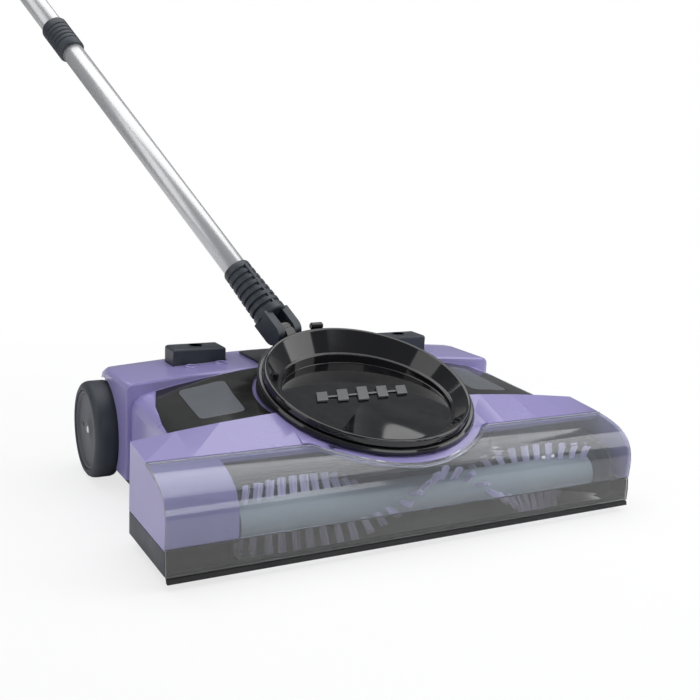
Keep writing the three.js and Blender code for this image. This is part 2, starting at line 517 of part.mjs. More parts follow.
const cell = { r: 11, length: 42, pitch: 21.2, count: 6, y: 168, z: 22.5 };
const batteryPack = join(...range(0, cell.count - 1, cell.count - 1).map((i) =>
  toManifold(new THREE.CylinderGeometry(cell.r, cell.r, cell.length, 20)
    .translate(-28 + cell.pitch * i, cell.y + cell.length / 2, cell.z))));
place('battery_pack', batteryPack, finish(colour.cell, 0.4));
place('circuit_board', block(-52, 8, 176, 214, 62, 63.6), finish(colour.board, 0.5));
place('power_switch', block(-pedal.x - 6, -pedal.x + 6, 208.2, 220, 58.4, 78.5), finish(colour.rubber, 0.5));
place('charge_jack', cut(
  toManifold(new THREE.CylinderGeometry(4.8, 4.8, 14, 20).translate(-30, 232.6, 40)),
  toManifold(new THREE.CylinderGeometry(2.6, 2.6, 12, 16).translate(-30, 235, 40)),
), finish(colour.rubber, 0.5));
indicatorSpots.forEach(([x, y], i) => {
  const top = barTop(x);
  place(['indicator_lens_a', 'indicator_lens_b'][i], rodZ(x, y, top - 8, top - 1, 3, 16), finish(colour.lens, 0.1));
});

// ---- foot pedals with their springs ----
const pedalBody = (s) => {
  const [inset, round] = [3, 2];
  const [w, d] = [pedal.width / 2 - inset, pedal.depth / 2 - inset];
  const outline = new THREE.Shape();
  outline.moveTo(-w, -d).lineTo(w, -d).lineTo(w, d).lineTo(-w, d);
  const body = new THREE.ExtrudeGeometry(outline, {
    depth: pedal.topZ - pedal.lowZ - 2 * round, bevelEnabled: true, bevelThickness: round, bevelSize: inset,
    bevelSegments: 2, steps: 1,
  }).translate(s * pedal.x, pedal.y, pedal.lowZ + round);
  return toManifold(body);
};
const pedalStem = (s, low) => rodZ(s * pedal.x, pedal.y, low, pedal.lowZ + 3, 3, 16);
place('power_pedal', pedalBody(-1).add(pedalStem(-1, 71.4)), finish(colour.darkGrey, 0.45));
const releaseArm = join(
  block(110.2, 113.2, 198, 204, 16, pedal.lowZ + 3), block(110.2, 113.2, 147, 204, 16, 21),
  block(105, 113.2, 147, 151.5, 14.8, 21),
);
place('release_pedal', join(pedalBody(1), pedalStem(1, 74), releaseArm), finish(colour.darkGrey, 0.45));

const springShape = (s) => {
  const turns = 4.5;
  class Coil extends THREE.Curve {
    getPoint(t, target = new THREE.Vector3()) {
      const angle = 2 * Math.PI * turns * t;
      return target.set(5.2 * Math.cos(angle), 5.2 * Math.sin(angle), 59 + 21.6 * t);
    }
  }
  const wire = new THREE.Shape().absarc(0, 0, 0.55, 0, 2 * Math.PI);
  const coil = { steps: 36, curveSegments: 2, bevelEnabled: false, extrudePath: new Coil() };
  return new THREE.ExtrudeGeometry(wire, coil).translate(s * pedal.x, pedal.y, 0.2);
};
place('power_spring', springShape(-1), finish(colour.steel, 0.3, 1));
place('release_spring', springShape(1), finish(colour.steel, 0.3, 1));

// ---- wheels ----
const tyreProfile = [
  [31, -9.2], [36, -9.75], [37.4, -8.6], [38, -6.5], [38, 4.5], [37.2, 7.4], [34.6, 9.3], [31, 9.75], [31, -9.2],
];
const hubProfile = [
  [3.3, -9], [30.7, -9], [30.7, 7.6], [8, 8.4], [6.8, 7.4], [3.3, 7.4], [3.3, -9],
];
const wheelX = (rearWheel.inner + rearWheel.outer) / 2;
[['left', -1], ['right', 1]].forEach(([side, s]) => {
  const facing = (geometry) => (s < 0 ? geometry.rotateZ(Math.PI) : geometry);
  const centre = [s * wheelX, rearWheel.y, rearWheel.r];
  place(`wheel_tyre_${side}`, facing(turnedAlongX(tyreProfile, 36)), finish(colour.tyre, 0.7), floorHead, centre);
  place(`wheel_hub_${side}`, facing(turnedAlongX(hubProfile, 24)), finish(colour.hub, 0.5), floorHead, centre);
  const inner = 136;
  place(`wheel_axle_${side}`, cut(rodX(s < 0 ? -175.5 : inner, s < 0 ? -inner : 175.5, rearWheel.y, rearWheel.r,
    rearWheel.axleR, 16)), finish(colour.steel, 0.3, 1));
  place(`front_roller_${side}`, cut(rodX(s * roller.x - roller.half, s * roller.x + roller.half, roller.y, roller.r,
    roller.r, 20), rodX(s * roller.x - 9, s * roller.x + 9, roller.y, roller.r, roller.pinR + gap, 12)),
  finish(colour.tyre, 0.7));
  place(`roller_pin_${side}`, rodX(s * roller.x - 8.3, s * roller.x + 8.3, roller.y, roller.r, roller.pinR, 10),
    finish(colour.steel, 0.3, 1));
});
screwSpots.forEach(([x, y], i) => {
  const screw = rodZ(x, y, 9.2, 24, 2, 10).add(rodZ(x, y, 8.8, 11.1, 3.6, 12));
  place(`base_screw_${i + 1}`, screw, finish(colour.steel, 0.35, 1));
});

// ---- dish with its raised generic mark ----
const dishCircles = [
  { r: 67.5, v: -1, n: -18, lean: -7 }, { r: 71.5, v: -0.5, n: -12, lean: -3.6 }, { r: 75.6, n: -5.2 },
  { r: 79.2, n: -4.9 }, { r: 78.5, n: -0.8 }, { r: 77.4, n: 0 }, { r: 75.6, n: -0.4 },
  { r: 66.5, v: -2.7, n: -11, lean: -3.6 },
  { r: 64.6, v: -2.7, n: -11.2, lean: -3.6 }, { r: 63.6, v: -2.7, n: -14.8, lean: -7.1 },
];
const dishFloor = { v: -2.7, n: -14.8, lean: -7.1 };
place('dish', toGeometry(bowl(dishCircles)), finish(colour.gloss, 0.06), dishGroup);
const markGroup = makeGroup(dishGroup, [0, dishFloor.v, dishFloor.n]);
markGroup.rotation.x = THREE.MathUtils.degToRad(dishFloor.lean);
const slantBar = (x, height) => toManifold(new THREE.ExtrudeGeometry(
  outlineShape([[x - 4.5 - height / 5, -height / 2], [x + 4.5 - height / 5, -height / 2],
    [x + 4.5 + height / 5, height / 2], [x - 4.5 + height / 5, height / 2]]),
  { depth: 1.6, bevelEnabled: false },
).translate(0, 6, gap));
const mark = join(...range(-2, 2, 4).map((i) => slantBar(i * 17, 20 - 3.5 * Math.abs(i))),
  toManifold(new THREE.BoxGeometry(76, 2.4, 0.8).translate(0, 6, gap + 0.4)));
place('dish_mark', mark, finish(colour.steel, 0.4, 0.6), markGroup);

// ---- swivelling ring with the knuckle tongue, turned to its rest angle ----
const swivelGroup = makeGroup(dishGroup);
swivelGroup.rotation.z = THREE.MathUtils.degToRad(rest.swivel);
const ringBand = toManifold(turned([
  [ring.inner, ring.bottom], [ring.outer - 0.6, ring.bottom], [ring.outer, ring.bottom + 0.8],
  [ring.outer, ring.top - 1.4], [ring.outer - 1.2, ring.top], [ring.inner, ring.top], [ring.inner, ring.bottom],
], 44));
const tongueNeck = slabX([
  [80.4, ring.bottom], [83, ring.bottom], [pivot.r, pivot.n - pivot.tongueR],
  [pivot.r, pivot.n + pivot.tongueR], [84, -1.6], [80.4, ring.top],
], -pivot.tongueHalf, pivot.tongueHalf);
const tongueEye = rodX(-pivot.tongueHalf, pivot.tongueHalf, pivot.r, pivot.n, pivot.tongueR, 24);
const rimClear = rodZ(0, 0, -5, 40, 80.1, 56);
const tongue = cut(join(ringBand, tongueNeck, tongueEye), rimClear,
  rodX(-10, 10, pivot.r, pivot.n, pivot.pinR + gap, 16));
// The small catch barrel stands just behind the dish, turned back from the swivel by its own angle in degrees.
const latch = { r: 86.6, n: -3.2, half: 5.4, barrelR: 3, turn: 2 };
const catchBarrel = join(rodX(-latch.half, latch.half, latch.r, latch.n, latch.barrelR, 16),
  block(-1.8, 1.8, 81, latch.r + 0.4, ring.bottom, -4.4)).rotate([0, 0, latch.turn - rest.swivel]);
place('swivel_ring', tongue.add(catchBarrel), finish(colour.gloss, 0.25), swivelGroup);
const pivotGroup = makeGroup(swivelGroup, [0, pivot.r, pivot.n]);
place('knuckle_pin', rodX(-fork.outer + 0.4, fork.outer - 0.4, 0, 0, pivot.pinR, 16),
  finish(colour.steel, 0.3, 1), pivotGroup);

// ---- handle: +Z runs up the tube from the knuckle pin ----
const handleGroup = makeGroup(pivotGroup);
handleGroup.rotation.x = THREE.MathUtils.degToRad(rest.lift - 90);
const sleeveProfile = () => {
  const profile = [[0, sleeve.start - 3], [10.5, sleeve.start - 3], [sleeve.lowR - 0.8, sleeve.start + 1]];
  const firstRib = sleeve.start + 3;
  const pitch = (sleeve.end - 6 - firstRib) / sleeve.ribs;
  range(0, sleeve.ribs - 1, sleeve.ribs - 1).forEach((i) => {
    const z = firstRib + i * pitch;
    const r = THREE.MathUtils.lerp(sleeve.lowR, sleeve.topR, i / sleeve.ribs);
    const floorR = r - THREE.MathUtils.lerp(sleeve.lowDepth, sleeve.topDepth, i / sleeve.ribs);
    profile.push([r, z], [r, z + pitch * 0.64], [floorR, z + pitch * 0.7], [floorR, z + pitch * 0.98]);
  });
  profile.push([sleeve.topR, sleeve.end - 6], [sleeve.topR, sleeve.end - 1.6], [sleeve.topR - 0.5, sleeve.end],
    [sleeve.bore, sleeve.end], [sleeve.bore, sleeve.boreStart], [0, sleeve.boreStart]);
  return profile;
};
// A fork ear lies beside the tongue, on either side of it.
const forkEar = (s) => {
  const [x0, x1] = s < 0 ? [-fork.outer, -fork.inner] : [fork.inner, fork.outer];
  return rodX(x0, x1, 0, 0, fork.earR, 20).add(block(x0, x1, -fork.earR, fork.earR, 0, 15));
};
const sleeveSpine = block(-1.3, 1.3, -12.4, -10.3, 14, 62);
const sleeveSolid = cut(
  join(toManifold(turned(sleeveProfile(), 16)), forkEar(-1), forkEar(1), sleeveSpine),
  block(-fork.inner, fork.inner, -20, 20, -14, 15.5), rodX(-20, 20, 0, 0, pivot.pinR + gap, 16),
);
place('handle_sleeve', sleeveSolid, finish(colour.darkGrey, 0.5), handleGroup);

const tubeGeometry = (length) => turned([
  [tube.r - tube.wall, 0], [tube.r, 0], [tube.r, length], [tube.r - tube.wall, length], [tube.r - tube.wall, 0],
], 16);
const tubeStart = sleeve.boreStart + gap;
const tubeNames = ['lower_tube', 'middle_tube', 'upper_tube'];
const sectionStart = (i) => tubeStart + i * (tube.section + gap * 2 + 1.4);
tubeNames.forEach((name, i) =>
  place(name, tubeGeometry(tube.section), finish(colour.silver, 0.3, 1), handleGroup, [0, 0, sectionStart(i)]));
['tube_joiner_lower', 'tube_joiner_upper'].forEach((name, i) => {
  const middle = (sectionStart(i) + tube.section + sectionStart(i + 1)) / 2;
  const half = tube.joiner / 2;
  const outer = tube.r + 2.3;
  const profile = [
    [0, -0.7], [sleeve.bore, -0.7], [sleeve.bore, -half], [outer - 0.6, -half], [outer, 1.5 - half],
    [outer, half - 1.5], [outer - 0.6, half], [sleeve.bore, half], [sleeve.bore, 0.7], [0, 0.7],
  ];
  place(name, turned(profile, 16), finish(colour.darkGrey, 0.5), handleGroup, [0, 0, middle]);
});

const grip = { overlap: 70, length: 138, holeHalf: 4, holeLow: 119, holeHigh: 126 };
const gripProfile = [
  [sleeve.bore, 0], [11.6, 0], [12.6, 1.5], [14.2, 10], [14.8, 34], [14, 66], [15, 96], [15.6, 120],
  [14.6, 129], [12, 134.5], [7, 137.4], [0, grip.length], [0, grip.overlap + 1],
  [sleeve.bore, grip.overlap + 1], [sleeve.bore, 0],
];
const holeEnd = (z) =>
  toManifold(new THREE.CylinderGeometry(grip.holeHalf, grip.holeHalf, 40, 16).translate(0, 0, z));
const gripSolid = cut(
  toManifold(turned(gripProfile, 18)), holeEnd(grip.holeLow), holeEnd(grip.holeHigh),
  block(-grip.holeHalf, grip.holeHalf, -20, 20, grip.holeLow, grip.holeHigh),
);
place('hand_grip', gripSolid, finish(colour.darkGrey, 0.8), handleGroup,
  [0, 0, sectionStart(2) + tube.section - grip.overlap]);

// ---- stand the sweeper on the floor with the origin under the middle of its box ----
sweeper.updateMatrixWorld(true);
const box = new THREE.Box3().setFromObject(sweeper, true);
floorHead.position.set(-(box.min.x + box.max.x) / 2, -(box.min.y + box.max.y) / 2, -box.min.z);
sweeper.updateMatrixWorld(true);

export default sweeper;
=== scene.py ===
# Cordless carpet sweeper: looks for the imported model, in metres, +Z up.
import json
import math
import random

import bmesh
import bpy
from mathutils import Matrix, Vector

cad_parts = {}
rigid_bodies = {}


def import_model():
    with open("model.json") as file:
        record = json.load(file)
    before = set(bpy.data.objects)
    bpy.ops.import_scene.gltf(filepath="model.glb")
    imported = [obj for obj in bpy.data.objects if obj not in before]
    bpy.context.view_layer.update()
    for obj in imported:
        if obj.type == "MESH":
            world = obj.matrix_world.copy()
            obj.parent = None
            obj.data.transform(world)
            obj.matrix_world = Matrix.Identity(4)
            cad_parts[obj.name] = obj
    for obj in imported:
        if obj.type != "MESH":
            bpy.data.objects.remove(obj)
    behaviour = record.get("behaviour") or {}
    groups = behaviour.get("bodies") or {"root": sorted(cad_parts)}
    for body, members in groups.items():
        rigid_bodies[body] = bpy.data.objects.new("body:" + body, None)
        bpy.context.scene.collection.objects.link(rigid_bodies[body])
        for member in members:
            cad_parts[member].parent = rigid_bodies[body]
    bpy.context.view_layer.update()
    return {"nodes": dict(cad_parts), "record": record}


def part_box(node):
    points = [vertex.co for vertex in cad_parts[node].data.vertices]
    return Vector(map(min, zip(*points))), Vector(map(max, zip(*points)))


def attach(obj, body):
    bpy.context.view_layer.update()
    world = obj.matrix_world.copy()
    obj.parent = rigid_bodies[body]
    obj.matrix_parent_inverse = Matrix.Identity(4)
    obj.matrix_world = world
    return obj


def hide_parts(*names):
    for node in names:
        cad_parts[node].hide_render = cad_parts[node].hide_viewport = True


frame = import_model()
mm = 0.001
slotOf = {part["node"]: part["material_slot"] for part in frame["record"]["subparts"]}
bodyOf = {node: body for body, nodes in frame["record"]["behaviour"]["bodies"].items() for node in nodes}

# ---- places on the sweeper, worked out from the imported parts; local measures are in millimetres ----
skirtLow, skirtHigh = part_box("front_skirt")
skirtBulge = 1.4  # mm that the skirt stands in front of the head's own zero
headStart = Vector(((skirtLow.x + skirtHigh.x) / 2, skirtLow.y + skirtBulge * mm, 0))
headPlace = Matrix.Translation(headStart) @ Matrix.Scale(mm, 4)
dishTilt, swivelRest, handleLift = 19, 20.7, 22.8  # degrees
dishMiddle = Vector((0, 87.8, 96.1))  # centre of the dish's rim in the head
knuckle = Vector((0, 92.5, -6))  # the handle's pin beside the dish
dishPlace = headPlace @ Matrix.Translation(dishMiddle) @ Matrix.Rotation(math.radians(dishTilt), 4, "X")
swivelPlace = dishPlace @ Matrix.Rotation(math.radians(swivelRest), 4, "Z")
handlePlace = (swivelPlace @ Matrix.Translation(knuckle)
               @ Matrix.Rotation(math.radians(handleLift - 90), 4, "X"))


# ---- stage: camera, floor, soft boxes ----
cameraView = {"place": (-360.0, -528.5, 266.7), "azimuth": -29.1, "elevation": 11.8, "roll": 2.8,
              "lens": 50.85}
softBoxes = {  # place, aim, size across and up in metres, watts
    "topBox": ((120, 420, 1300), (0, 100, 60), (1.9, 1.3), 15.0),
    "leftBox": ((-1250, 150, 720), (0, 100, 60), (0.7, 1.2), 3.4),
    "rightBox": ((1150, -350, 760), (0, 100, 60), (0.9, 1.2), 7.5),
    "frontBox": ((150, -1500, 620), (0, 60, 40), (1.4, 0.5), 5.0),
}


def setCamera(look):
    azimuth, elevation, roll = (math.radians(look[k]) for k in ("azimuth", "elevation", "roll"))
    back = Vector((math.sin(azimuth) * math.cos(elevation), -math.cos(azimuth) * math.cos(elevation),
                   math.sin(elevation)))
    right = Vector((math.cos(azimuth), math.sin(azimuth), 0))
    up = back.cross(right)
    across = math.cos(roll) * right + math.sin(roll) * up
    upright = math.cos(roll) * up - math.sin(roll) * right
    data = bpy.data.cameras.new("sweeperCamera")
    data.lens = look["lens"]
    data.clip_start, data.clip_end = 0.02, 50
    camera = bpy.data.objects.new("sweeperCamera", data)
    bpy.context.scene.collection.objects.link(camera)
    turn = Matrix((across, upright, back)).transposed().to_4x4()
    camera.matrix_world = Matrix.Translation(headPlace @ Vector(look["place"])) @ turn
    bpy.context.scene.camera = camera


def setLights(boxes):
    for name, (place, aim, (wide, high), watts) in boxes.items():
        data = bpy.data.lights.new(name, "AREA")
        data.shape, data.size, data.size_y, data.energy = "RECTANGLE", wide, high, watts
        light = bpy.data.objects.new(name, data)
        bpy.context.scene.collection.objects.link(light)
        start, end = headPlace @ Vector(place), headPlace @ Vector(aim)
        turn = (end - start).to_track_quat("-Z", "Y").to_matrix().to_4x4()
        light.matrix_world = Matrix.Translation(start) @ turn
        light.visible_camera = False


def addNode(tree, kind, inputs=None, **settings):
    node = tree.nodes.new(kind)
    for key, value in settings.items():
        setattr(node, key, value)
    for key, value in (inputs or {}).items():
        if isinstance(value, bpy.types.NodeSocket):
            tree.links.new(value, node.inputs[key])
        else:
            node.inputs[key].default_value = value
    return node


def setWorld(seen, lit):
    world = bpy.data.worlds.new("studio")
    world.use_nodes = True
    bpy.context.scene.world = world
    tree = world.node_tree
    tree.nodes.clear()
    path = addNode(tree, "ShaderNodeLightPath")
    room = addNode(tree, "ShaderNodeBackground", {"Color": (0.93, 0.95, 1.0, 1), "Strength": lit})
    white = addNode(tree, "ShaderNodeBackground", {"Color": (1, 1, 1, 1), "Strength": seen})
    mix = addNode(tree, "ShaderNodeMixShader",
                  {0: path.outputs["Is Camera Ray"], 1: room.outputs[0], 2: white.outputs[0]})
    addNode(tree, "ShaderNodeOutputWorld", {"Surface": mix.outputs[0]})


def emptyMaterial(name):
    material = bpy.data.materials.new(name)
    material.use_nodes = True
    material.node_tree.nodes.clear()
    return material, material.node_tree


def closeMaterial(tree, shader):
    addNode(tree, "ShaderNodeOutputMaterial", {"Surface": shader})


floorLook = {"size": 9, "paper": (0.93, 0.93, 0.935, 1), "fibres": 700.0, "glowFrom": 0.75, "glowTo": 1.35,
             "nearGlow": 0.72}  # metres; the paper turns into plain white with distance


def setFloor(look):
    bm = bmesh.new()
    bmesh.ops.create_grid(bm, x_segments=2, y_segments=2, size=look["size"])
    mesh = bpy.data.meshes.new("studioFloor")
    bm.to_mesh(mesh)
    bm.free()
    floor = bpy.data.objects.new("studioFloor", mesh)
    bpy.context.scene.collection.objects.link(floor)
    material, tree = emptyMaterial("palePaper")
    place = addNode(tree, "ShaderNodeTexCoord")
    fibre = addNode(tree, "ShaderNodeTexNoise",
                    {"Vector": place.outputs["Object"], "Scale": look["fibres"], "Detail": 3.0})
    bump = addNode(tree, "ShaderNodeBump",
                   {"Strength": 0.08, "Distance": 0.0002, "Height": fibre.outputs["Fac"]})
    paper = addNode(tree, "ShaderNodeBsdfPrincipled",
                    {"Base Color": look["paper"], "Roughness": 0.6, "Normal": bump.outputs["Normal"]})
    glow = addNode(tree, "ShaderNodeEmission", {"Color": (1, 1, 1, 1), "Strength": 1.0})
    path = addNode(tree, "ShaderNodeLightPath")
    away = addNode(tree, "ShaderNodeMapRange",
                   {"Value": path.outputs["Ray Length"], "From Min": look["glowFrom"],
                    "From Max": look["glowTo"], "To Min": look["nearGlow"], "To Max": 1.0})
    share = addNode(tree, "ShaderNodeMath", {0: path.outputs["Is Camera Ray"], 1: away.outputs["Result"]},
                    operation="MULTIPLY")
    mix = addNode(tree, "ShaderNodeMixShader",
                  {0: share.outputs[0], 1: paper.outputs[0], 2: glow.outputs[0]})
    closeMaterial(tree, mix.outputs[0])
    mesh.materials.append(material)


setCamera(cameraView)
setLights(softBoxes)
setWorld(seen=1.0, lit=0.26)
setFloor(floorLook)
bpy.context.scene.view_settings.view_transform = "Standard"
print("stage set")


# ---- shader groups shared by the finishes ----
def startGroup(name, inputs, outputs):
    group = bpy.data.node_groups.new(name, "ShaderNodeTree")
    for label, kind, value in inputs:
        socket = group.interface.new_socket(label, in_out="INPUT", socket_type=kind)
        if value is not None:
            socket.default_value = value
    for label, kind in outputs:
        group.interface.new_socket(label, in_out="OUTPUT", socket_type=kind)
    return group, group.nodes.new("NodeGroupInput").outputs, group.nodes.new("NodeGroupOutput").inputs


def fillGroup(tree, group, values):
    node = tree.nodes.new("ShaderNodeGroup")
    node.node_tree = group
    for key, value in values.items():
        if isinstance(value, bpy.types.NodeSocket):
            tree.links.new(value, node.inputs[key])
        else:
            node.inputs[key].default_value = value
    return node.outputs


number, tint, direction = "NodeSocketFloat", "NodeSocketColor", "NodeSocketVector"


def mouldedGroup():
    # slow colour drift, fine spark-eroded grain and uneven polish of a moulded part
    group, source, sink = startGroup(
        "mouldedSkin",
        [("Colour", tint, None), ("Drift", tint, None), ("Grain Scale", number, 900.0),
         ("Grain Depth", number, 0.1), ("Smooth", number, 0.3), ("Rough", number, 0.4)],
        [("Colour", tint), ("Roughness", number), ("Normal", direction)])
    place = addNode(group, "ShaderNodeTexCoord").outputs["Object"]
    broad = addNode(group, "ShaderNodeTexNoise", {"Vector": place, "Scale": 9.0, "Detail": 4.0, "Roughness": 0.6})
    fine = addNode(group, "ShaderNodeTexNoise", {"Vector": place, "Scale": source["Grain Scale"], "Detail": 2.0})
    cloud = addNode(group, "ShaderNodeTexNoise", {"Vector": place, "Scale": 26.0, "Detail": 3.0})
    colour = addNode(group, "ShaderNodeMix", {0: broad.outputs["Fac"], 6: source["Colour"], 7: source["Drift"]},
                     data_type="RGBA")
    group.links.new(colour.outputs[2], sink["Colour"])
    rough = addNode(group, "ShaderNodeMapRange",
                    {"Value": cloud.outputs["Fac"], "From Min": 0.3, "From Max": 0.7,
                     "To Min": source["Smooth"], "To Max": source["Rough"]})
    group.links.new(rough.outputs["Result"], sink["Roughness"])
    bump = addNode(group, "ShaderNodeBump", {"Strength": source["Grain Depth"], "Distance": 0.0003,
                                             "Height": fine.outputs["Fac"]})
    group.links.new(bump.outputs["Normal"], sink["Normal"])
    return group


def dustGroup():
    # thin dust that settles on faces turned upwards
    group, source, sink = startGroup(
        "settledDust", [("Colour", tint, None), ("Amount", number, 0.05)], [("Colour", tint)])
    place = addNode(group, "ShaderNodeTexCoord").outputs["Object"]
    normal = addNode(group, "ShaderNodeNewGeometry").outputs["Normal"]
    facing = addNode(group, "ShaderNodeSeparateXYZ", {0: normal})
    up = addNode(group, "ShaderNodeMapRange", {"Value": facing.outputs["Z"], "From Min": 0.3, "From Max": 1.0})
    cloud = addNode(group, "ShaderNodeTexNoise", {"Vector": place, "Scale": 60.0, "Detail": 6.0, "Roughness": 0.7})
    speck = addNode(group, "ShaderNodeMapRange", {"Value": cloud.outputs["Fac"], "From Min": 0.45, "From Max": 0.75})
    mask = addNode(group, "ShaderNodeMath", {0: up.outputs["Result"], 1: speck.outputs["Result"]},
                   operation="MULTIPLY")
    share = addNode(group, "ShaderNodeMath", {0: mask.outputs[0], 1: source["Amount"]}, operation="MULTIPLY")
    colour = addNode(group, "ShaderNodeMix", {0: share.outputs[0], 6: source["Colour"], 7: (0.55, 0.54, 0.52, 1)},
                     data_type="RGBA")
    group.links.new(colour.outputs[2], sink["Colour"])
    return group


mouldedSkin, settledDust = mouldedGroup(), dustGroup()

finishes = {}


chamberSpan = {"front": 44, "rear": 72.3, "upward": 0.2, "sideways": 0.5}  # mm behind the skirt, and normals


def shadeChamber(tree, outside, chamberShade):
    # faces of the brush chamber that look forwards or down take a dark colour: painted shade in the chamber's recess
    place = addNode(tree, "ShaderNodeTexCoord").outputs["Object"]
    normal = addNode(tree, "ShaderNodeNewGeometry").outputs["Normal"]
    at = addNode(tree, "ShaderNodeSeparateXYZ", {0: place}).outputs
    way = addNode(tree, "ShaderNodeSeparateXYZ", {0: normal}).outputs
    side = addNode(tree, "ShaderNodeMath", {0: way["X"]}, operation="ABSOLUTE").outputs[0]
    tests = [(at["Y"], "GREATER_THAN", headStart.y + chamberSpan["front"] * mm),
             (at["Y"], "LESS_THAN", headStart.y + chamberSpan["rear"] * mm),
             (way["Z"], "LESS_THAN", chamberSpan["upward"]), (side, "LESS_THAN", chamberSpan["sideways"])]
    share = 1.0
    for value, test, limit in tests:
        passed = addNode(tree, "ShaderNodeMath", {0: value, 1: limit}, operation=test).outputs[0]
        share = addNode(tree, "ShaderNodeMath", {0: passed, 1: share}, operation="MULTIPLY").outputs[0]
    return addNode(tree, "ShaderNodeMix", {0: share, 6: outside, 7: (*chamberShade, 1)}, data_type="RGBA").outputs[2]


def mouldedFinish(slot, colour, drift, smooth, rough, scale=900.0, depth=0.08, dust=0.015, chamber=None, **shader):
    material, tree = emptyMaterial(slot)
    skin = fillGroup(tree, mouldedSkin, {"Colour": (*colour, 1), "Drift": (*drift, 1), "Grain Scale": scale,
                                         "Grain Depth": depth, "Smooth": smooth, "Rough": rough})
    inside = chamber and shadeChamber(tree, skin["Colour"], chamber)
    dusted = fillGroup(tree, settledDust, {"Colour": inside or skin["Colour"], "Amount": dust})
    surface = addNode(tree, "ShaderNodeBsdfPrincipled",
                      {"Base Color": dusted["Colour"], "Roughness": skin["Roughness"],
                       "Normal": skin["Normal"], **shader})
    closeMaterial(tree, surface.outputs[0])
    finishes[slot] = material


def clearFinish(slot, colour, haze, lamp, rough=0.04, ior=1.46):
    material, tree = emptyMaterial(slot)
    skin = fillGroup(tree, mouldedSkin, {"Colour": (*colour, 1), "Drift": (*(c * 0.93 for c in colour), 1),
                                         "Grain Scale": 500.0, "Grain Depth": 0.01,
                                         "Smooth": rough, "Rough": rough + 0.05})
    clear = addNode(tree, "ShaderNodeBsdfPrincipled",
                    {"Base Color": skin["Colour"], "Roughness": skin["Roughness"], "Normal": skin["Normal"],
                     "IOR": ior, "Transmission Weight": 1 - haze})
    lit = addNode(tree, "ShaderNodeBsdfTransparent", {"Color": (*lamp, 1)})
    path = addNode(tree, "ShaderNodeLightPath")
    mix = addNode(tree, "ShaderNodeMixShader",
                  {0: path.outputs["Is Shadow Ray"], 1: clear.outputs[0], 2: lit.outputs[0]})
    closeMaterial(tree, mix.outputs[0])
    finishes[slot] = material


# the chamber colour on the lavender shell is painted shade on the inner faces of the brush chamber
mouldedFinish("lavender_shell", (0.285, 0.250, 0.515), (0.276, 0.242, 0.505), 0.27, 0.31, 1100.0, 0.05, 0.0,
              chamber=(0.10, 0.11, 0.14), **{"Coat Weight": 0.35, "Coat Roughness": 0.12})
mouldedFinish("dark_plastic", (0.028, 0.036, 0.046), (0.024, 0.031, 0.040), 0.36, 0.52, 1500.0, 0.12)
mouldedFinish("gloss_black", (0.006, 0.006, 0.007), (0.005, 0.005, 0.006), 0.05, 0.10, 600.0, 0.004, 0.02,
              **{"Specular IOR Level": 0.6})
mouldedFinish("textured_black", (0.012, 0.012, 0.014), (0.010, 0.010, 0.011), 0.28, 0.42, 900.0, 0.10)
mouldedFinish("panel_black", (0.013, 0.013, 0.011), (0.011, 0.011, 0.009), 0.10, 0.18, 900.0, 0.01)
mouldedFinish("grey_lens", (0.110, 0.118, 0.130), (0.100, 0.108, 0.120), 0.16, 0.26, 900.0, 0.02)
mouldedFinish("mark_satin", (0.20, 0.205, 0.21), (0.17, 0.175, 0.18), 0.24, 0.32, 900.0, 0.01, 0.02, Metallic=0.4)
mouldedFinish("soft_rubber", (0.010, 0.010, 0.011), (0.014, 0.014, 0.015), 0.55, 0.75, 1400.0, 0.2)
mouldedFinish("grip_rubber", (0.020, 0.022, 0.026), (0.016, 0.018, 0.021), 0.55, 0.75, 1600.0, 0.3)
mouldedFinish("handle_tube", (0.60, 0.60, 0.61), (0.57, 0.57, 0.58), 0.27, 0.29, 900.0, 0.0, 0.0, Metallic=0.6)
mouldedFinish("tyre_rubber", (0.030, 0.037, 0.047), (0.026, 0.032, 0.041), 0.42, 0.60, 1300.0, 0.12)
mouldedFinish("hub_plastic", (0.085, 0.090, 0.100), (0.078, 0.083, 0.092), 0.45, 0.60, 1300.0, 0.10)
mouldedFinish("brush_sleeve", (0.40, 0.46, 0.49), (0.30, 0.36, 0.39), 0.55, 0.75, 700.0, 0.35)
mouldedFinish("bristle_nylon", (0.78, 0.73, 1.0), (0.82, 0.78, 1.0), 0.30, 0.45, 900.0, 0.05, 0.0)
mouldedFinish("bright_steel", (0.62, 0.62, 0.64), (0.56, 0.56, 0.58), 0.22, 0.38, 1500.0, 0.03, 0.02, Metallic=1.0)
mouldedFinish("cell_wrap", (0.035, 0.19, 0.14), (0.030, 0.17, 0.12), 0.25, 0.40, 500.0, 0.03)
mouldedFinish("board_green", (0.012, 0.10, 0.04), (0.010, 0.08, 0.03), 0.30, 0.45, 900.0, 0.05)
mouldedFinish("black_plastic", (0.012, 0.012, 0.013), (0.010, 0.010, 0.011), 0.35, 0.50, 1200.0, 0.08)
clearFinish("smoked_window", (0.74, 0.76, 0.79), 0.07, (0.74, 0.76, 0.79))
clearFinish("smoked_skirt", (0.46, 0.46, 0.44), 0.10, (0.45, 0.45, 0.44))
clearFinish("smoked_cup", (0.45, 0.46, 0.48), 0.12, (0.5, 0.5, 0.52))
print("finishes ready")


# ---- helpers for pieces ----
def keepPiece(name, mesh, slot, body, stands, smooth, edge, segments=2, bevelAngle=34):
    mesh.shade_smooth()
    mesh.set_sharp_from_angle(angle=math.radians(smooth))
    piece = bpy.data.objects.new(name, mesh)
    bpy.context.scene.collection.objects.link(piece)
    mesh.materials.append(finishes[slot])
    if edge:
        bevel = piece.modifiers.new("edge", "BEVEL")
        bevel.width, bevel.segments = edge * mm, segments
        bevel.limit_method, bevel.angle_limit = "ANGLE", math.radians(bevelAngle)
        bevel.harden_normals = True
        bevel.miter_outer = "MITER_ARC"
    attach(piece, body)
    if stands:
        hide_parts(*stands)
    return piece


